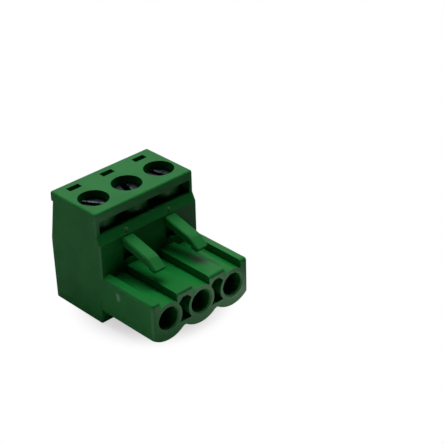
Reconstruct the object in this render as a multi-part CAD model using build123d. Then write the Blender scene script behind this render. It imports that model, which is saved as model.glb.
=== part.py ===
from build123d import *
import math
import os

os.makedirs("parts", exist_ok=True)

# A pluggable screw terminal block for cable ends, in millimetres.
# X runs along the row of positions, -Y is the mating side with the pin sockets,
# +Y is the wire side, +Z is the screw side. The origin is under the middle of the box.

# Overall sizes
position_count = 3
pitch = 5.08
body_height = 15.0
overall_length = 18.2
body_width = position_count * pitch

# Mating part: the low nose that plugs over the header
nose_length = 8.8
nose_top_z = 6.8
nose_side_inset = 0.06
nose_edge_radius = 0.45
nose_rim_radius = 0.4
scallop_radius = 3.6
scallop_low_z = 1.0
scallop_notch_radius = 0.6

# Sockets, their tubes and the core-outs between them
socket_z = 4.0
socket_radius = 1.45
socket_mouth_chamfer = 0.2
tube_radius = 2.03
core_depth = 6.5
core_low_z = 2.7
core_shoulder_z = 5.45
core_top_z = 6.0
core_half_width = 0.95
core_top_half_width = 0.35

# Keying grooves along the top of the nose
groove_width = 2.65
groove_floor_z = 5.7
groove_tube_radius = 2.15

# Outline of the body, seen from the side. Shares count from the nose's top to the body's top.
front_step = 0.54
front_chamfer_low_share = 0.512
front_chamfer_high_share = 0.643
lip_low_share = 0.854
back_lip_inset = 0.55
back_neck_inset = 0.87
back_bulge_low_share = 0.024
back_bulge_high_share = 0.195
foot_inset = 0.15
body_edge_radius = 0.3
bulge_radius = 2.0

# Long recess under the front lip, with the screw towers standing in it
recess_end_wall = 0.59
recess_wall = 0.45
recess_floor_drop = 0.57
recess_depth = 2.1
tower_radius = 2.43

# Screws and their bores
screw_share = 0.403
bore_radius = 1.9
head_radius = 1.8
head_height = 1.9
head_depth = 0.75
head_edge_chamfer = 0.2
slot_width = 0.75
slot_depth = 0.9
slot_bevel = 0.12
slot_angles = (122.0, 75.0, 102.0)
shank_radius = 1.45
shank_clearance = 0.15
tip_clearance = 0.02
tip_chamfer = 0.3

# Probe slots in the top, behind the screws
probe_from_back = 2.01
probe_width = 1.8
probe_length = 0.87

# Rising clamp cages and their chambers
wall_under_chamber = 1.0
cage_width = 3.9
cage_length = 4.2
cage_side_wall = 0.4
cage_floor = 0.75
cage_roof = 1.6
seat_thickness = 1.3
cage_clearance = 0.05
cage_corner_radius = 0.9
cage_window_radius = 0.4
cage_thread_radius = 1.5
grip_count = 3
grip_spacing = 1.1
grip_depth = 0.2
wire_gap = 3.8

# Contacts: a flat bar under the screw tip, stepped down to two spring leaves
bar_width = 2.3
bar_thickness = 0.7
bar_tail_past_probe = 0.3
bar_bend_radius = 0.55
bar_clearance = 0.05
neck_to_chamber = 0.59
leaf_thickness = 0.4
leaf_height = 1.4
leaf_root_from_neck = 1.9
leaf_grip_gap = 0.7
leaf_grip_from_root = 4.2
leaf_mouth_gap = 1.5
leaf_mouth_from_root = 5.4
web_thickness = 0.4

# Wire funnels on the back
funnel_width = 3.0
funnel_corner_radius = 0.6
funnel_flare = 0.5
funnel_flare_length = 1.25

# Latch hooks on the front wall, over the nose
hook_spacing = 6.64
hook_width = 1.7
hook_root_drop = 0.25
hook_thickness = 1.05
hook_reach = 5.65
hook_drop = 2.1
hook_bend_reach = 4.15
hook_bend_drop = 1.0
hook_bend_radius = 1.8
hook_nose_height = 0.45
hook_nose_rake = 0.2
hook_barb_length = 0.95
hook_barb_rise = 0.15
hook_catch_step = 0.35
hook_edge_chamfer = 0.15
hook_pocket_above_nose = 0.8
hook_pocket_depth = 0.9
hook_pip_radius = 0.25
hook_pip_height = 0.16
hook_pip_share = 0.5

# Round gate mark on each side of the nose
gate_radius = 0.55
gate_depth = 0.06
gate_from_wall = 2.7
gate_z = 5.3

# How near a corner has to be to count as the one asked for
corner_tolerance = 0.01

# Places worked out from the sizes above
front_y = -overall_length / 2
back_y = overall_length / 2
wall_y = front_y + nose_length
face_y = wall_y + front_step
half_width = body_width / 2
screw_y = wall_y + screw_share * (back_y - wall_y)
probe_y = back_y - probe_from_back
room_above_nose = body_height - nose_top_z
front_chamfer_low_z = nose_top_z + front_chamfer_low_share * room_above_nose
front_chamfer_high_z = nose_top_z + front_chamfer_high_share * room_above_nose
lip_low_z = nose_top_z + lip_low_share * room_above_nose
back_bulge_low_z = nose_top_z + back_bulge_low_share * room_above_nose
back_bulge_high_z = nose_top_z + back_bulge_high_share * room_above_nose
recess_floor_z = front_chamfer_high_z - recess_floor_drop
hook_root_z = front_chamfer_low_z - hook_root_drop
hook_pocket_low_z = nose_top_z + hook_pocket_above_nose
head_top_z = body_height - head_depth
head_seat_z = head_top_z - head_height
cage_bottom_z = wall_under_chamber + cage_clearance
cage_window_z = cage_bottom_z + cage_floor
bar_bottom_z = cage_window_z + wire_gap
bar_top_z = bar_bottom_z + bar_thickness
cage_roof_z = bar_top_z + cage_clearance
cage_top_z = cage_roof_z + cage_roof
chamber_top_z = head_seat_z - seat_thickness
chamber_half_length = cage_length / 2 + cage_clearance
chamber_half_width = cage_width / 2 + cage_clearance
chamber_front_y = screw_y - chamber_half_length
chamber_back_y = screw_y + chamber_half_length
neck_y = chamber_front_y - neck_to_chamber
neck_front_y = neck_y - bar_thickness / 2 - bar_clearance
leaf_root_y = neck_y - leaf_root_from_neck
tail_y = probe_y + probe_length / 2 + bar_tail_past_probe
position_xs = [pitch * (i - (position_count - 1) / 2) for i in range(position_count)]
gap_xs = [x + pitch / 2 for x in position_xs[:-1]]
hook_xs = (-hook_spacing / 2, hook_spacing / 2)


def block(x_low, x_high, y_low, y_high, z_low, z_high):
    """A box between two corners."""
    size = (x_high - x_low, y_high - y_low, z_high - z_low)
    middle = ((x_low + x_high) / 2, (y_low + y_high) / 2, (z_low + z_high) / 2)
    return Pos(*middle) * Box(*size)


def upright(radius, x, y, z_low, z_high):
    """A cylinder along Z."""
    return Pos(x, y, (z_low + z_high) / 2) * Cylinder(radius, z_high - z_low)


def level(radius, x, z, y_low, y_high):
    """A cylinder along Y."""
    turned = Rot(90, 0, 0) * Cylinder(radius, y_high - y_low)
    return Pos(x, (y_low + y_high) / 2, z) * turned


def side_prism(face, x_low, x_high):
    """A sketch drawn as (y, z), stood up in the YZ plane and extruded along X."""
    plane = Plane(origin=(x_low, 0, 0), x_dir=(0, 1, 0), z_dir=(1, 0, 0))
    return extrude(plane * face, x_high - x_low)


def front_prism(face, y_low, y_high):
    """A sketch drawn as (x, z), stood up in the XZ plane and extruded along Y."""
    plane = Plane(origin=(0, y_high, 0), x_dir=(1, 0, 0), z_dir=(0, -1, 0))
    return extrude(plane * face, y_high - y_low)


def polygon(points):
    return make_face(Polyline(*points, close=True))


def rounded(face, corners, radius):
    """Rounds the corners of a sketch that lie at the given points."""
    targets = [Vector(*corner) for corner in corners]

    def wanted(vertex):
        return any((Vector(*vertex) - target).length < corner_tolerance for target in targets)

    return fillet([vertex for vertex in face.vertices() if wanted(vertex)], radius)


def body_blank():
    """The tall part, drawn from the side with its neck, bulge and foot, and the lip behind its top."""
    lip_y = back_y - back_lip_inset
    neck_y_back = back_y - back_neck_inset
    foot_front = (face_y, 0)
    chamfer_low = (wall_y, front_chamfer_low_z)
    top_front = (face_y, body_height)
    top_back = (neck_y_back, body_height)
    bulge_high = (back_y, back_bulge_high_z)
    bulge_low = (back_y, back_bulge_low_z)
    foot_back = (back_y - foot_inset, 0)
    points = [
        foot_front,
        (face_y, socket_z - socket_radius),
        (wall_y, socket_z),
        chamfer_low,
        (face_y, front_chamfer_high_z),
        top_front,
        top_back,
        (neck_y_back, lip_low_z),
        bulge_high,
        bulge_low,
        foot_back,
    ]
    face = polygon(points)
    face = rounded(face, [foot_front, top_front, top_back, foot_back, chamfer_low], body_edge_radius)
    face = rounded(face, [bulge_high, bulge_low], bulge_radius)
    blank = side_prism(face, -half_width, half_width)
    ends = blank.faces().filter_by(Axis.X).edges()
    blank = fillet(ends, body_edge_radius)
    lip = block(-half_width, half_width, screw_y, lip_y, lip_low_z, body_height)
    rims = lip.faces().sort_by(Axis.Y)[-1].edges() + lip.faces().sort_by(Axis.Z)[-1].edges()
    picked = [e for e in rims if e.center().Z > lip_low_z and e.center().Y > screw_y]
    return blank + fillet(picked, body_edge_radius)


def nose_blank():
    """The nose, drawn from the front with one scallop under each socket."""
    half = half_width - nose_side_inset
    centre_z = scallop_low_z + scallop_radius
    notch_z = centre_z - math.sqrt(scallop_radius**2 - (pitch / 2) ** 2)
    outer_z = centre_z - math.sqrt(scallop_radius**2 - (half - position_xs[-1]) ** 2)
    edges = []
    for i, x in enumerate(position_xs):
        left = (-half, outer_z) if i == 0 else (x - pitch / 2, notch_z)
        right = (half, outer_z) if i == position_count - 1 else (x + pitch / 2, notch_z)
        edges.append(ThreePointArc(left, (x, scallop_low_z), right))
    edges.append(Polyline((half, outer_z), (half, nose_top_z), (-half, nose_top_z), (-half, outer_z)))
    face = make_face(Curve() + edges)
    face = rounded(face, [(x, notch_z) for x in gap_xs], scallop_notch_radius)
    corners = [(half, nose_top_z), (-half, nose_top_z), (half, outer_z), (-half, outer_z)]
    face = rounded(face, corners, nose_edge_radius)
    blank = front_prism(face, front_y, screw_y - bore_radius)
    rim = blank.faces().sort_by(Axis.Y)[0].edges()
    return fillet(rim, nose_rim_radius)


def groove_cut(x):
    """A keying groove, whose floor is round over the socket tube."""
    half = groove_width / 2
    slot = block(x - half, x + half, front_y - 1, wall_y, groove_floor_z, nose_top_z + 1)
    return slot - level(groove_tube_radius, x, socket_z, front_y - 2, wall_y + 1)


def core_cut(x):
    """The hollow between two sockets, bounded by their tubes."""
    w = core_half_width
    t = core_top_half_width
    right = [(w, core_low_z), (w, core_shoulder_z), (t, core_top_z)]
    left = [(-t, core_top_z), (-w, core_shoulder_z), (-w, core_low_z)]
    face = polygon(right + left)
    end_y = front_y + core_depth
    hollow = front_prism(Pos(x, 0) * face, front_y - 1, end_y)
    for side in (-1, 1):
        hollow -= level(tube_radius, x + side * pitch / 2, socket_z, front_y - 2, end_y + 1)
    return hollow


def socket_cut(x):
    """A pin socket with a small lead-in, open at its back to the contact's neck."""
    hole = level(socket_radius, x, socket_z, front_y - 1, neck_front_y)
    mouth = Cone(socket_radius, socket_radius + 2 * socket_mouth_chamfer, 2 * socket_mouth_chamfer)
    hole += Pos(x, front_y, socket_z) * Rot(90, 0, 0) * mouth
    half = bar_width / 2 + bar_clearance
    low_z = socket_z - leaf_height / 2 - bar_clearance
    hole += block(x - half, x + half, neck_front_y, chamber_front_y, low_z, bar_top_z + bar_clearance)
    return hole


def recess_cut():
    """The long recess under the front lip, around the screw towers."""
    end = half_width - recess_end_wall
    back = face_y + recess_depth
    opening = block(-end, end, wall_y - 1, back, front_chamfer_high_z, lip_low_z)
    channel = block(-end, end, face_y + recess_wall, back, recess_floor_z, front_chamfer_high_z)
    cut = opening + channel
    for x in position_xs:
        cut -= upright(tower_radius, x, screw_y, recess_floor_z - 1, body_height)
    return cut


def screw_cut(x):
    """The screw's bore, the hole for its shank and the cage's chamber below."""
    cut = upright(bore_radius, x, screw_y, head_seat_z, body_height + 1)
    cut += upright(shank_radius + shank_clearance, x, screw_y, chamber_top_z - 1, head_seat_z + 1)
    w = chamber_half_width
    cut += block(x - w, x + w, chamber_front_y, chamber_back_y, wall_under_chamber, chamber_top_z)
    return cut


def wire_cut(x):
    """The wire funnel, the seat of the contact's tail above it and the probe slot."""
    middle_z = cage_window_z + wire_gap / 2
    flare_y = back_y - funnel_flare_length
    throat = RectangleRounded(funnel_width, wire_gap, funnel_corner_radius)
    inner = Plane(origin=(x, chamber_back_y - 1, middle_z), x_dir=(-1, 0, 0), z_dir=(0, 1, 0))
    mouth = Plane(origin=(x, flare_y, middle_z), x_dir=(-1, 0, 0), z_dir=(0, 1, 0))
    angle = math.degrees(math.atan(funnel_flare / funnel_flare_length))
    cut = extrude(inner * throat, flare_y - chamber_back_y + 1)
    cut += extrude(mouth * throat, funnel_flare_length + funnel_corner_radius, taper=-angle)
    half = bar_width / 2 + bar_clearance
    seat_back_y = tail_y + bar_clearance
    seat_top_z = bar_top_z + bar_clearance
    cut += block(x - half, x + half, chamber_back_y - 1, seat_back_y, middle_z, seat_top_z)
    half = probe_width / 2
    low_y = probe_y - probe_length / 2
    cut += block(x - half, x + half, low_y, low_y + probe_length, bar_top_z, body_height + 1)
    return cut


def hook(x):
    """One latch hook: an arm that bends down to a barbed nose, and the pip over its root."""
    root_y = wall_y + front_step
    bend = (wall_y - hook_bend_reach, hook_root_z - hook_bend_drop)
    tip = (wall_y - hook_reach, hook_root_z - hook_drop)
    nose_low = (tip[0] + hook_nose_rake, tip[1] - hook_nose_height)
    barb = (nose_low[0] + hook_barb_length, nose_low[1] + hook_barb_rise)
    catch = (barb[0], barb[1] + hook_catch_step)
    under_bend = (bend[0], bend[1] - hook_thickness)
    under_root = (wall_y, hook_root_z - hook_thickness)
    root_top = (root_y, hook_root_z)
    root_low = (root_y, under_root[1])
    upper = [root_top, (wall_y, hook_root_z), bend, tip]
    lower = [nose_low, barb, catch, under_bend, under_root, root_low]
    face = rounded(polygon(upper + lower), [bend], hook_bend_radius)
    arm = side_prism(face, x - hook_width / 2, x + hook_width / 2)
    sides = arm.edges().filter_by(lambda e: abs(e.center().X - x) > hook_width / 2 - corner_tolerance)
    slope = hook_bend_drop / hook_bend_reach
    middle_z = hook_root_z - hook_thickness / 2
    top = sides.filter_by(lambda e: e.center().Z > middle_z + slope * (e.center().Y - wall_y))
    front = sides.filter_by(lambda e: e.center().Y < tip[0] + hook_nose_rake)
    arm = chamfer(top + front, hook_edge_chamfer)
    lean = math.degrees(math.atan2(front_step, front_chamfer_high_z - front_chamfer_low_z))
    pip_y = wall_y + hook_pip_share * front_step
    pip_z = front_chamfer_low_z + hook_pip_share * (front_chamfer_high_z - front_chamfer_low_z)
    pip = Cone(hook_pip_radius, hook_pip_radius / 2, 2 * hook_pip_height)
    return arm + Pos(x, pip_y, pip_z) * Rot(90 - lean, 0, 0) * pip


def hook_pocket(x):
    """The core mark in the front wall under a hook."""
    half = hook_width / 2
    top_z = hook_root_z - hook_thickness
    return block(x - half, x + half, wall_y - 1, wall_y + hook_pocket_depth, hook_pocket_low_z, top_z)


def gate_cut(side):
    """A shallow dish in the side of the nose, where the gate broke off."""
    x = side * (half_width - nose_side_inset)
    y = wall_y - gate_from_wall
    ball_radius = (gate_radius**2 + gate_depth**2) / (2 * gate_depth)
    return Pos(x + side * (ball_radius - gate_depth), y, gate_z) * Sphere(ball_radius)


def make_housing():
    """The one-piece moulding."""
    housing = body_blank() + nose_blank()
    for x in position_xs:
        housing -= groove_cut(x)
    for x in gap_xs:
        housing -= core_cut(x)
    housing -= recess_cut()
    for x in position_xs:
        housing -= socket_cut(x)
        housing -= screw_cut(x)
        housing -= wire_cut(x)
    for x in hook_xs:
        housing -= hook_pocket(x)
        housing += hook(x)
    for side in (-1, 1):
        housing -= gate_cut(side)
    return housing


def make_screw(x, angle):
    """A slotted clamp screw that bears on the contact's bar."""
    tip_z = bar_top_z + tip_clearance
    head = upright(head_radius, x, screw_y, head_seat_z, head_top_z)
    rim = head.faces().sort_by(Axis.Z)[-1].edges()
    head = chamfer(rim, head_edge_chamfer)
    shank = upright(shank_radius, x, screw_y, tip_z, head_seat_z)
    shank = chamfer(shank.faces().sort_by(Axis.Z)[0].edges(), tip_chamfer)
    half = slot_width / 2
    wide = half + slot_bevel
    right = [(half, -slot_depth), (half, -slot_bevel), (wide, 0), (wide, 1)]
    left = [(-wide, 1), (-wide, 0), (-half, -slot_bevel), (-half, -slot_depth)]
    slot = side_prism(polygon(right + left), -bore_radius, bore_radius)
    return head + shank - Pos(x, screw_y, head_top_z) * Rot(0, 0, angle) * slot


def make_cage(x):
    """A rising cage: a bent sleeve, open front and back, threaded through its roof."""
    half = cage_width / 2
    low_y = screw_y - cage_length / 2
    high_y = screw_y + cage_length / 2
    cage = block(x - half, x + half, low_y, high_y, cage_bottom_z, cage_top_z)
    bottom = cage.edges().filter_by(Axis.Y).group_by(Axis.Z)[0]
    cage = fillet(bottom, cage_corner_radius)
    inner = half - cage_side_wall
    window = block(x - inner, x + inner, low_y - 1, high_y + 1, cage_window_z, cage_roof_z)
    window = fillet(window.edges().filter_by(Axis.Y), cage_window_radius)
    cage -= window
    cage -= upright(cage_thread_radius, x, screw_y, cage_roof_z - 1, cage_top_z + 1)
    grip_length = 2 * (inner - cage_window_radius)
    grip_side = grip_depth * math.sqrt(2)
    for i in range(grip_count):
        y = screw_y + grip_spacing * (i - (grip_count - 1) / 2)
        cage -= Pos(x, y, cage_window_z) * Rot(45, 0, 0) * Box(grip_length, grip_side, grip_side)
    return cage


def leaf(x, side):
    """A spring leaf: from the web, in to the grip on the pin and out again at its mouth."""
    root_x = bar_width / 2 - leaf_thickness / 2
    grip_x = (leaf_grip_gap + leaf_thickness) / 2
    mouth_x = (leaf_mouth_gap + leaf_thickness) / 2
    points = [
        (x + side * root_x, leaf_root_y, socket_z),
        (x + side * grip_x, leaf_root_y - leaf_grip_from_root, socket_z),
        (x + side * mouth_x, leaf_root_y - leaf_mouth_from_root, socket_z),
    ]
    path = Spline(*points, tangents=[(0, -1, 0), (side * (mouth_x - grip_x), grip_x - mouth_x, 0)])
    start = Plane(origin=path @ 0, x_dir=(0, 0, 1), z_dir=path % 0)
    return sweep(start * Rectangle(leaf_height, leaf_thickness), path)


def make_contact(x):
    """A stamped contact: tail and bar, a step down through the wall, web and leaves."""
    middle_z = bar_bottom_z + bar_thickness / 2
    route = FilletPolyline(
        (x, tail_y, middle_z),
        (x, neck_y, middle_z),
        (x, neck_y, socket_z),
        (x, leaf_root_y, socket_z),
        radius=bar_bend_radius,
    )
    start = Plane(origin=route @ 0, x_dir=(1, 0, 0), z_dir=route % 0)
    contact = sweep(start * Rectangle(bar_width, bar_thickness), route)
    half = bar_width / 2
    web_low_z = socket_z - leaf_height / 2
    web_back_y = leaf_root_y + web_thickness
    contact += block(x - half, x + half, leaf_root_y, web_back_y, web_low_z, web_low_z + leaf_height)
    for side in (-1, 1):
        contact += leaf(x, side)
    return contact


export_step(make_housing(), "parts/housing.step")
for number, x in enumerate(position_xs, start=1):
    angle = slot_angles[(number - 1) % len(slot_angles)]
    export_step(make_screw(x, angle), f"parts/clamp_screw_{number}.step")
    export_step(make_cage(x), f"parts/wire_cage_{number}.step")
    export_step(make_contact(x), f"parts/contact_{number}.step")
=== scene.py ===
import bpy
import math
from mathutils import Matrix, Vector


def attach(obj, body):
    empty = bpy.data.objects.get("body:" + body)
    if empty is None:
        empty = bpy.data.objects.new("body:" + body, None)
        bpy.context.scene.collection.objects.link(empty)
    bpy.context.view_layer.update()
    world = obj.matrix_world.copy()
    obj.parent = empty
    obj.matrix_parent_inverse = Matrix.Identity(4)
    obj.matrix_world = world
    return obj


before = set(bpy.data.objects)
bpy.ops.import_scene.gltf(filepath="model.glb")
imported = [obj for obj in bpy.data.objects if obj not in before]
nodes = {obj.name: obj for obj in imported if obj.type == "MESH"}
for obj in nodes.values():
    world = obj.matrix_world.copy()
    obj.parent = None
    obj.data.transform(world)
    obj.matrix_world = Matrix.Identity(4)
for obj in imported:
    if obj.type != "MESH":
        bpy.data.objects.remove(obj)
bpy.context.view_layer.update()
print("frame loaded:", len(nodes), "nodes")

mm = 0.001

# the row of positions, which the housing, the screws and the threads share
row = {
    "positions": 3,
    "pitch": 5.08 * mm,
    "screwY": 3.488 * mm,
}


def rowX(index):
    return (index - (row["positions"] - 1) / 2) * row["pitch"]


# shader and node helpers
class Sock:
    # one output socket with the usual operators, each of which adds a Math node
    def __init__(self, tree, socket):
        self.tree = tree
        self.socket = socket

    def _do(self, operation, first, second=None):
        values = {0: first} if second is None else {0: first, 1: second}
        return self.tree.add("ShaderNodeMath", {"operation": operation}, values)

    def __add__(self, other): return self._do("ADD", self, other)
    def __radd__(self, other): return self._do("ADD", other, self)
    def __sub__(self, other): return self._do("SUBTRACT", self, other)
    def __rsub__(self, other): return self._do("SUBTRACT", other, self)
    def __mul__(self, other): return self._do("MULTIPLY", self, other)
    def __rmul__(self, other): return self._do("MULTIPLY", other, self)
    def __truediv__(self, other): return self._do("DIVIDE", self, other)
    def __rtruediv__(self, other): return self._do("DIVIDE", other, self)
    def __pow__(self, other): return self._do("POWER", self, other)
    def __rpow__(self, other): return self._do("POWER", other, self)
    def __abs__(self): return self._do("ABSOLUTE", self)
    def sin(self): return self._do("SINE", self)
    def sqrt(self): return self._do("SQRT", self)
    def round(self): return self._do("ROUND", self)
    def highest(self, other): return self._do("MAXIMUM", self, other)

    def ramp(self, low, high, toLow=0.0, toHigh=1.0):  # smooth step from low to high
        reach = {"Value": self, "From Min": low, "From Max": high, "To Min": toLow, "To Max": toHigh}
        settings = {"interpolation_type": "SMOOTHSTEP", "clamp": True}
        return self.tree.add("ShaderNodeMapRange", settings, reach)


class Tree:
    # adds nodes to one node tree, each with its settings and the values or links of its sockets
    def __init__(self, nodeTree):
        self.nodeTree = nodeTree

    def add(self, kind, settings=None, sockets=None, out=0):
        node = self.nodeTree.nodes.new(kind)
        for key, value in (settings or {}).items():
            setattr(node, key, value)
        for key, value in (sockets or {}).items():
            target = node.inputs[key]
            if isinstance(value, Sock):
                self.nodeTree.links.new(value.socket, target)
            else:
                target.default_value = value
        result = Sock(self, node.outputs[out]) if node.outputs else None
        if result is not None:
            result.node = node
        return result

    def other(self, sock, name):  # another output of the same node
        return Sock(self, sock.node.outputs[name])

    def mixColour(self, factor, first, second):
        return self.add("ShaderNodeMix", {"data_type": "RGBA"}, {0: factor, 6: first, 7: second}, out=2)

    def noise(self, place, scale, detail, roughness):
        sockets = {"Vector": place, "Scale": scale, "Detail": detail, "Roughness": roughness}
        return self.add("ShaderNodeTexNoise", {}, sockets)

    def dot(self, first, second):
        sockets = {0: first, 1: second}
        return self.add("ShaderNodeVectorMath", {"operation": "DOT_PRODUCT"}, sockets, out="Value")

    def bump(self, height, distance, strength):
        sockets = {"Strength": strength, "Distance": distance, "Height": height}
        return self.add("ShaderNodeBump", {}, sockets)


def newMaterial(name):
    material = bpy.data.materials.new(name)
    material.use_nodes = True
    material.node_tree.nodes.clear()
    tree = Tree(material.node_tree)
    tree.place = tree.add("ShaderNodeTexCoord", {}, {}, out="Object")
    return material, tree


def finishMaterial(tree, values):
    shader = tree.add("ShaderNodeBsdfPrincipled", {}, values)
    tree.add("ShaderNodeOutputMaterial", {}, {"Surface": shader})


# materials; each noise is given by its scale, detail and roughness
plastic = {
    "colour": (0.0060, 0.145, 0.0240, 1.0),
    "deep": (0.0045, 0.122, 0.0190, 1.0),
    "pale": (0.014, 0.170, 0.036, 1.0),
    "whiteningAndHighlight": (0.20, 0.33, 0.21, 1.0),      # whitened plastic where the gate broke off; the same pale tone is the painted highlight on the pips and the socket mouths
    "shade": (0.001, 0.030, 0.004, 1.0),
    "roughness": 0.36,
    "specular": 0.30,
    "cloud": (260.0, 3.0, 0.55),              # slow drift of colour in the moulding, about 4 mm
    "cloudEdge": (0.3, 0.7),
    "grain": (5200.0, 3.0, 0.6),              # moulded grain, about 0.2 mm across
    "fineGrain": (20800.0, 2.0, 0.5),
    "grainRough": 0.16,
    "scuff": (900.0, 2.0, 0.5),               # long fine scuffs, a few per cent of the surface
    "scuffTurn": (0.5, 0.35, 0.9),
    "scuffStretch": (1.0, 14.0, 1.0),
    "scuffEdge": (0.64, 0.72),
    "scuffShare": 0.10, "scuffRough": 0.10,
    "bumpDepth": 0.012 * mm,
    "bumpStrength": 0.55,
    "grainHeight": 0.8, "fineHeight": 0.35, "scuffHeight": 0.15,
    "gate": (7.56 * mm, -3.0 * mm, 5.3 * mm),
    "haloReach": 5.0 * mm,
    "haloShare": 0.30, "haloRough": 0.04,
    "ringScale": 9000.0,                      # faint flow rings round the gates
    "ringDrift": 9.0, "ringShare": 0.04,
    "spotReach": (0.1 * mm, 0.5 * mm),
    "spotSquash": 0.6,                        # the spot is taller than it is wide
    "spotRagged": 0.3 * mm,
    "spotShare": 0.6,
    # the centre of the painted highlight on each pip over the hooks
    "pip": (3.32 * mm, -0.03 * mm, 11.54 * mm),
    "pipReach": (0.136 * mm, 0.34 * mm),
    "pipShare": 0.35,
    "faceY": -9.1 * mm,
    "socketZ": 4.0 * mm,
    "mouthRadius": 1.56 * mm,
    # a painted highlight rings the edge of each socket mouth
    "mouthReach": 0.16 * mm,
    "mouthHighlightDepth": (0.2 * mm, 0.35 * mm),      # how far behind the face the painted highlight ends
    "mouthHighlightShare": 0.22,
    "boreDepth": (0.3 * mm, 1.5 * mm),        # where the sockets' walls turn dark
    "boreShare": 0.8,
}


def behindFace(depths):
    return [plastic["faceY"] + depth for depth in depths]


def makePlastic():
    material, t = newMaterial("greenPlastic")
    cloud = t.noise(t.place, *plastic["cloud"])
    grain = t.noise(t.place, *plastic["grain"])
    fine = t.noise(t.place, *plastic["fineGrain"])
    x = t.add("ShaderNodeSeparateXYZ", {}, {0: t.place}, out=0)
    y = t.other(x, 1)
    z = t.other(x, 2)
    gateX, gateY, gateZ = plastic["gate"]
    off = abs(x) - gateX                      # the gates lie alike on both sides
    away = (off * off + (y - gateY) ** 2.0 + (z - gateZ) ** 2.0).sqrt()
    halo = away.ramp(0.0, plastic["haloReach"], 1.0, 0.0)
    rings = (away * plastic["ringScale"] + cloud * plastic["ringDrift"]).sin() * halo
    tone = t.mixColour(cloud.ramp(*plastic["cloudEdge"]), plastic["deep"], plastic["colour"])
    flow = halo * plastic["haloShare"] + rings * plastic["ringShare"]
    tone = t.mixColour(flow, tone, plastic["pale"])
    turned = {"Vector": t.place, "Rotation": plastic["scuffTurn"], "Scale": plastic["scuffStretch"]}
    along = t.add("ShaderNodeMapping", {}, turned)
    scuff = t.noise(along, *plastic["scuff"]).ramp(*plastic["scuffEdge"])
    tone = t.mixColour(scuff * plastic["scuffShare"], tone, plastic["pale"])
    low = (z - gateZ) * plastic["spotSquash"]
    near = (off * off + (y - gateY) ** 2.0 + low * low).sqrt() + (grain - 0.5) * plastic["spotRagged"]
    spot = near.ramp(*plastic["spotReach"], plastic["spotShare"], 0.0)
    tone = t.mixColour(spot, tone, plastic["whiteningAndHighlight"])
    # painted highlights, a lighter tone on the pips over the hooks and on the edges of the socket mouths
    pipX, pipY, pipZ = plastic["pip"]
    sideways = abs(x) - pipX
    atPip = (sideways * sideways + (y - pipY) ** 2.0 + (z - pipZ) ** 2.0).sqrt()
    pip = atPip.ramp(*plastic["pipReach"], plastic["pipShare"], 0.0)
    tone = t.mixColour(pip, tone, plastic["whiteningAndHighlight"])
    cell = x - (x / row["pitch"]).round() * row["pitch"]
    fromAxis = (cell * cell + (z - plastic["socketZ"]) ** 2.0).sqrt()
    # painted highlight on the rims of the socket mouths
    mouthHighlight = abs(fromAxis - plastic["mouthRadius"]).ramp(0.0, plastic["mouthReach"], 1.0, 0.0)
    mouthHighlight = mouthHighlight * y.ramp(*behindFace(plastic["mouthHighlightDepth"]), 1.0, 0.0)
    tone = t.mixColour(mouthHighlight * plastic["mouthHighlightShare"], tone, plastic["whiteningAndHighlight"])
    # no light reaches the back of the sockets, so their walls read darker
    innerRadius = plastic["mouthRadius"] - plastic["mouthReach"]
    bore = fromAxis.ramp(innerRadius, plastic["mouthRadius"], 1.0, 0.0)
    bore = bore * y.ramp(*behindFace(plastic["boreDepth"]))
    tone = t.mixColour(bore * plastic["boreShare"], tone, plastic["shade"])
    roughness = plastic["roughness"] + (grain - 0.5) * plastic["grainRough"]
    roughness = roughness + scuff * plastic["scuffRough"] - halo * plastic["haloRough"]
    height = grain * plastic["grainHeight"] + fine * plastic["fineHeight"] + scuff * plastic["scuffHeight"]
    bump = t.bump(height, plastic["bumpDepth"], plastic["bumpStrength"])
    finishMaterial(t, {"Base Color": tone, "Roughness": roughness, "Normal": bump,
                       "Specular IOR Level": plastic["specular"]})
    return material


zinc = {
    "colour": (0.060, 0.098, 0.102, 1.0),     # a dark zinc tone with a blue-green cast
    "dull": (0.020, 0.036, 0.036, 1.0),
    "wornAndGlint": (0.24, 0.30, 0.31, 1.0),          # rubbed bright by the screwdriver, and the painted glint of the slot's rims
    "roughness": 0.24,
    "blotch": (1400.0, 3.0, 0.6),
    "blotchEdge": (0.35, 0.7),
    "fine": (9000.0, 2.0, 0.5),
    "fineRough": 0.18,
    "turnScale": 26000.0,                     # turning marks on the screw heads
    "turnDrift": 4.0,
    "turnRough": 0.03, "turnHeight": 0.5,
    "bumpDepth": 0.006 * mm,
    "bumpStrength": 0.5,
    "headTop": 14.25 * mm,
    "slotHalf": 0.375 * mm,
    "slotBevel": 0.12 * mm,
    "slotAngles": (122.0, 75.0, 102.0),
    "wornReach": (0.03 * mm, 0.13 * mm),      # from the middle of the slot's bevel
    "wornDepth": (0.5 * mm, 0.1 * mm),        # below the top of the head
    "wornEdge": (0.40, 0.60),
    "wornRough": 0.16,
}


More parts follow.
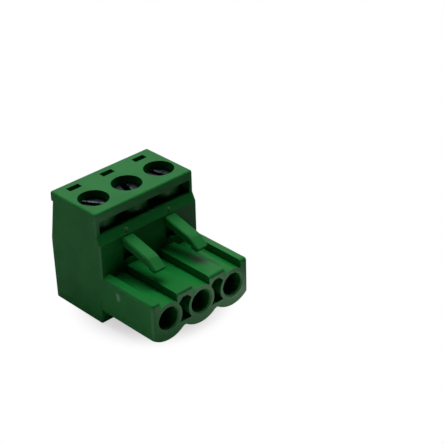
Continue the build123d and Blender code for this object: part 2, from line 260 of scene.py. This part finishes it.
def makeScrewZinc(index):
    material, t = newMaterial(f"screwZinc{index + 1}")
    x = t.add("ShaderNodeSeparateXYZ", {}, {0: t.place}, out=0)
    y = t.other(x, 1)
    z = t.other(x, 2)
    dx = x - rowX(index)
    dy = y - row["screwY"]
    radius = (dx * dx + dy * dy).sqrt()
    blotch = t.noise(t.place, *zinc["blotch"])
    fine = t.noise(t.place, *zinc["fine"])
    turning = (radius * zinc["turnScale"] + blotch * zinc["turnDrift"]).sin()
    # the slot's edges are rubbed bright, in patches, and their lighter tone also paints the glint of the
    # slot's rims
    angle = math.radians(zinc["slotAngles"][index])
    across = abs(dy * math.cos(angle) - dx * math.sin(angle))
    fromEdge = abs(across - (zinc["slotHalf"] + zinc["slotBevel"] / 2))
    nearEdge = fromEdge.ramp(*zinc["wornReach"], 1.0, 0.0)
    nearTop = z.ramp(*[zinc["headTop"] - depth for depth in zinc["wornDepth"]])
    wornAndGlint = nearEdge * nearTop * blotch.ramp(*zinc["wornEdge"])
    tone = t.mixColour(blotch.ramp(*zinc["blotchEdge"]), zinc["dull"], zinc["colour"])
    tone = t.mixColour(wornAndGlint, tone, zinc["wornAndGlint"])
    roughness = zinc["roughness"] + (fine - 0.5) * zinc["fineRough"]
    roughness = roughness + turning * zinc["turnRough"] + wornAndGlint * zinc["wornRough"]
    bump = t.bump(turning * zinc["turnHeight"] + fine, zinc["bumpDepth"], zinc["bumpStrength"])
    finishMaterial(t, {"Base Color": tone, "Metallic": 1.0, "Roughness": roughness, "Normal": bump})
    return material


sheetSteel = {
    "colour": (0.50, 0.51, 0.52, 1.0),
    "blue": (0.36, 0.38, 0.42, 1.0),
    "roughness": 0.34,
    "patch": (900.0, 3.0, 0.55),
    "patchEdge": (0.35, 0.7),
    "lines": (2600.0, 2.0, 0.5),              # drawing lines, twelve times finer along z
    "lineStretch": (1.0, 1.0, 12.0),
    "lineRough": 0.2,
    "bumpDepth": 0.006 * mm,
    "bumpStrength": 0.4,
}


def makeSheetSteel():
    material, t = newMaterial("cageZinc")
    drawn = t.add("ShaderNodeMapping", {}, {"Vector": t.place, "Scale": sheetSteel["lineStretch"]})
    lines = t.noise(drawn, *sheetSteel["lines"])
    patch = t.noise(t.place, *sheetSteel["patch"])
    tone = t.mixColour(patch.ramp(*sheetSteel["patchEdge"]), sheetSteel["blue"], sheetSteel["colour"])
    roughness = sheetSteel["roughness"] + (lines - 0.5) * sheetSteel["lineRough"]
    bump = t.bump(lines, sheetSteel["bumpDepth"], sheetSteel["bumpStrength"])
    finishMaterial(t, {"Base Color": tone, "Metallic": 1.0, "Roughness": roughness, "Normal": bump})
    return material


tin = {
    "colour": (0.62, 0.60, 0.57, 1.0),
    "dull": (0.52, 0.51, 0.49, 1.0),
    "warm": (0.50, 0.42, 0.30, 1.0),          # bronze that shows through at the rubbed places
    "roughness": 0.28,
    "patch": (1100.0, 4.0, 0.6),
    "patchRough": 0.06,
    "matte": (12000.0, 2.0, 0.5),
    "matteRough": 0.22,
    "rubbed": (520.0, 2.0, 0.5),
    "rubbedEdge": (0.60, 0.74),
    "rubbedShare": 0.45,
    "bumpDepth": 0.005 * mm,
    "bumpStrength": 0.4,
}


def makeTin():
    material, t = newMaterial("tinnedBronze")
    patch = t.noise(t.place, *tin["patch"])
    matte = t.noise(t.place, *tin["matte"])
    rubbed = t.noise(t.place, *tin["rubbed"]).ramp(*tin["rubbedEdge"])
    tone = t.mixColour(patch, tin["dull"], tin["colour"])
    tone = t.mixColour(rubbed * tin["rubbedShare"], tone, tin["warm"])
    roughness = tin["roughness"] + (matte - 0.5) * tin["matteRough"] + patch * tin["patchRough"]
    bump = t.bump(matte, tin["bumpDepth"], tin["bumpStrength"])
    finishMaterial(t, {"Base Color": tone, "Metallic": 1.0, "Roughness": roughness, "Normal": bump})
    return material


greenPlastic = makePlastic()
screwZincs = [makeScrewZinc(index) for index in range(row["positions"])]
cageZinc = makeSheetSteel()
tinnedBronze = makeTin()


def paint(obj, material):
    obj.data.materials.clear()
    obj.data.materials.append(material)


paint(nodes["housing"], greenPlastic)
for index in range(row["positions"]):
    paint(nodes[f"clamp_screw_{index + 1}"], screwZincs[index])
    paint(nodes[f"wire_cage_{index + 1}"], cageZinc)
    paint(nodes[f"contact_{index + 1}"], tinnedBronze)
print("materials on", len(nodes), "nodes")


# screw threads, a coil swept along each shank
thread = {
    "pitch": 0.5 * mm,
    "turns": 9.0,
    "coreRadius": 1.45 * mm,
    "ridge": 0.04 * mm,
    "startZ": 6.9 * mm,
    "stepsPerTurn": 36,
    "profileSides": 4,
}


def threadTree():
    group = bpy.data.node_groups.new("threadCoil", "GeometryNodeTree")
    face = group.interface
    face.new_socket("Geometry", in_out="OUTPUT", socket_type="NodeSocketGeometry")
    kinds = {"Pitch": "Float", "Turns": "Float", "Core Radius": "Float", "Ridge": "Float",
             "Steps": "Int", "Sides": "Int", "Place": "Vector", "Material": "Material"}
    for name, kind in kinds.items():
        face.new_socket(name, in_out="INPUT", socket_type="NodeSocket" + kind)
    g = Tree(group)
    first = g.add("NodeGroupInput")

    def need(name):
        return g.other(first, name)

    spiral = g.add("GeometryNodeCurveSpiral", {}, {
        "Resolution": need("Steps"), "Rotations": need("Turns"), "Height": need("Pitch") * need("Turns"),
        "Start Radius": need("Core Radius"), "End Radius": need("Core Radius"), "Reverse": False})
    profile = g.add("GeometryNodeCurvePrimitiveCircle", {"mode": "RADIUS"},
                    {"Resolution": need("Sides"), "Radius": need("Ridge")})
    coil = g.add("GeometryNodeCurveToMesh", {},
                 {"Curve": spiral, "Profile Curve": profile, "Fill Caps": True})
    placed = g.add("GeometryNodeTransform", {}, {"Geometry": coil, "Translation": need("Place")})
    real = g.add("GeometryNodeRealizeInstances", {}, {"Geometry": placed})
    dressed = g.add("GeometryNodeSetMaterial", {}, {"Geometry": real, "Material": need("Material")})
    g.add("NodeGroupOutput", {}, {"Geometry": dressed})
    return group


def bakeGeometry(name, group, values):
    # runs the tree on an empty mesh and keeps the result as a plain mesh
    holder = bpy.data.objects.new(name + "Holder", bpy.data.meshes.new(name + "Seed"))
    bpy.context.scene.collection.objects.link(holder)
    modifier = holder.modifiers.new("nodes", "NODES")
    modifier.node_group = group
    ids = {item.name: item.identifier for item in group.interface.items_tree if item.in_out == "INPUT"}
    for key, value in values.items():
        modifier[ids[key]] = value
    holder.update_tag()
    graph = bpy.context.evaluated_depsgraph_get()
    graph.update()
    mesh = bpy.data.meshes.new_from_object(holder.evaluated_get(graph))
    mesh.name = name
    holder.modifiers.remove(modifier)
    bpy.data.objects.remove(holder)
    obj = bpy.data.objects.new(name, mesh)
    bpy.context.scene.collection.objects.link(obj)
    return obj


coilTree = threadTree()
for index in range(row["positions"]):
    place = (rowX(index), row["screwY"], thread["startZ"])
    coil = bakeGeometry(f"screwThread{index + 1}", coilTree, {
        "Pitch": thread["pitch"], "Turns": thread["turns"], "Core Radius": thread["coreRadius"],
        "Ridge": thread["ridge"], "Steps": thread["stepsPerTurn"], "Sides": thread["profileSides"],
        "Place": place, "Material": screwZincs[index]})
    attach(coil, f"screw_{index + 1}")
    print("thread", index + 1, "has", len(coil.data.polygons), "faces")


# floor, light and camera
studio = {
    "floorHalf": 2.0,
    "floorSeen": (0.93, 0.93, 0.93, 1.0),     # tone of the floor in the picture
    "floorBounce": (0.86, 0.86, 0.86, 1.0),   # tone that lights the part from below
    "floorFar": (0.10, 0.10, 0.10, 1.0),      # the floor well in front gives little light back
    "bounceEdge": (-0.045, -0.020),
    "glossLow": 0.12, "glossHigh": 1.6,       # tones in the part's own reflections
    "patchRight": (-0.0080, 0.0095, 0.0130),  # where the light patch in front rises, peaks and ends
    "patchBack": (-0.010, -0.006),            # and how far back it reaches
    "cornerRise": (0.012, 0.016),             # a second patch lies off the near corner
    "cornerEdge": (-0.010, -0.006),
    "cornerWay": (-0.73, -0.68, 0.0),
    "cornerShare": 0.55,                      # how bright it is beside the first
    "whiteNear": 0.60, "whiteFar": 1.0,       # share of plain white under the part and far off
    "whiteEdge": (0.0060, 0.0108),
    "ambient": 0.012,
    "backdrop": (0.59, 0.63, 0.50),           # middle of the bright side of the studio
    "backdropLow": 0.05, "backdropHigh": 0.65,
    "backdropEdge": (0.10, 0.85),
    "lookAt": (0.0, 0.0, 0.008),
}

# a wide soft box overhead, which only lights, and a small lamp that also gives the highlights
lamps = {
    "softBox": {
        "place": (0.08, 0.085, 0.42), "size": (0.50, 0.18), "power": 2.4, "glossy": False},
    "spark": {
        "place": (-0.22, 0.03, 0.34), "size": (0.10, 0.10), "power": 0.06, "glossy": True},
}


def makeFloor():
    mesh = bpy.data.meshes.new("floor")
    half = studio["floorHalf"]
    corners = [(-half, -half, 0), (half, -half, 0), (half, half, 0), (-half, half, 0)]
    mesh.from_pydata(corners, [], [(0, 1, 2, 3)])
    floor = bpy.data.objects.new("floor", mesh)
    bpy.context.scene.collection.objects.link(floor)
    material, t = newMaterial("paleFloor")
    seen = t.add("ShaderNodeLightPath", {}, {}, out="Is Camera Ray")
    away = t.add("ShaderNodeVectorMath", {"operation": "LENGTH"}, {0: t.place}, out="Value")
    far = away.ramp(*studio["whiteEdge"])
    white = studio["whiteNear"] + far * (studio["whiteFar"] - studio["whiteNear"])
    sideways = t.add("ShaderNodeSeparateXYZ", {}, {0: t.place}, out=0)
    depth = t.other(sideways, 1)
    rise, peak, end = studio["patchRight"]
    patch = sideways.ramp(rise, peak) * sideways.ramp(peak, end, 1.0, 0.0)
    patch = patch * depth.ramp(*studio["patchBack"], 1.0, 0.0)
    toCorner = t.dot(t.place, studio["cornerWay"])
    corner = toCorner.ramp(*studio["cornerRise"]) * sideways.ramp(*studio["cornerEdge"], 1.0, 0.0)
    bright = patch.highest(corner * studio["cornerShare"])
    shade = studio["glossLow"] + (studio["glossHigh"] - studio["glossLow"]) * bright
    gloss = t.add("ShaderNodeCombineColor", {}, {})
    for channel in ("Red", "Green", "Blue"):
        t.nodeTree.links.new(shade.socket, gloss.node.inputs[channel])
    lit = depth.ramp(*studio["bounceEdge"])
    tone = t.mixColour(lit, studio["floorFar"], studio["floorBounce"])
    tone = t.mixColour(seen, tone, studio["floorSeen"])
    tone = t.mixColour(t.other(seen, "Is Glossy Ray"), tone, gloss)
    diffuse = t.add("ShaderNodeBsdfDiffuse", {}, {"Color": tone})
    glow = t.add("ShaderNodeEmission", {}, {"Color": (1, 1, 1, 1), "Strength": 1.0})
    mixed = t.add("ShaderNodeMixShader", {}, {0: seen * white, 1: diffuse, 2: glow})
    # from below the floor isn't in the way
    under = t.add("ShaderNodeNewGeometry", {}, {}, out="Backfacing")
    clear = t.add("ShaderNodeBsdfTransparent")
    shown = t.add("ShaderNodeMixShader", {}, {0: under, 1: mixed, 2: clear})
    t.add("ShaderNodeOutputMaterial", {}, {"Surface": shown})
    paint(floor, material)


def makeWorld():
    world = bpy.data.worlds.new("studio")
    world.use_nodes = True
    world.node_tree.nodes.clear()
    t = Tree(world.node_tree)
    seen = t.add("ShaderNodeLightPath", {}, {}, out="Is Camera Ray")
    glossy = t.other(seen, "Is Glossy Ray")
    way = t.add("ShaderNodeTexCoord", {}, {}, out="Generated")
    facing = t.dot(way, studio["backdrop"])
    backdrop = facing.ramp(*studio["backdropEdge"], studio["backdropLow"], studio["backdropHigh"])
    ambient = studio["ambient"]
    level = ambient + seen * (1.0 - ambient) + glossy * (backdrop - ambient)
    back = t.add("ShaderNodeBackground", {}, {"Color": (1, 1, 1, 1), "Strength": level})
    t.add("ShaderNodeOutputWorld", {}, {"Surface": back})
    bpy.context.scene.world = world


def makeLamp(name, values):
    light = bpy.data.lights.new(name, "AREA")
    light.shape = "RECTANGLE"
    light.size, light.size_y = values["size"]
    light.energy = values["power"]
    lamp = bpy.data.objects.new(name, light)
    lamp.location = values["place"]
    aim = Vector(studio["lookAt"]) - Vector(values["place"])
    lamp.rotation_euler = aim.to_track_quat("-Z", "Y").to_euler()
    lamp.visible_glossy = values["glossy"]
    bpy.context.scene.collection.objects.link(lamp)


makeFloor()
makeWorld()
for name, values in lamps.items():
    makeLamp(name, values)
print("floor, world and lamps placed")

shot = {
    "place": (-94.112 * mm, -113.411 * mm, 97.369 * mm),
    "right": (0.72147, -0.69206, -0.0206),
    "up": (0.36395, 0.35385, 0.86155),
    "back": (-0.589, -0.62915, 0.50713),
    "lens": 116.86,
    "sensor": 36.0,
    "clip": (0.005, 10.0),
}


def makeCamera():
    data = bpy.data.cameras.new("camera")
    data.lens = shot["lens"]
    data.sensor_width = shot["sensor"]
    data.clip_start, data.clip_end = shot["clip"]
    camera = bpy.data.objects.new("camera", data)
    turn = Matrix((shot["right"], shot["up"], shot["back"])).transposed().to_4x4()
    camera.matrix_world = Matrix.Translation(shot["place"]) @ turn
    bpy.context.scene.collection.objects.link(camera)
    bpy.context.scene.camera = camera


makeCamera()
bpy.context.scene.view_settings.view_transform = "Standard"
print("camera set")
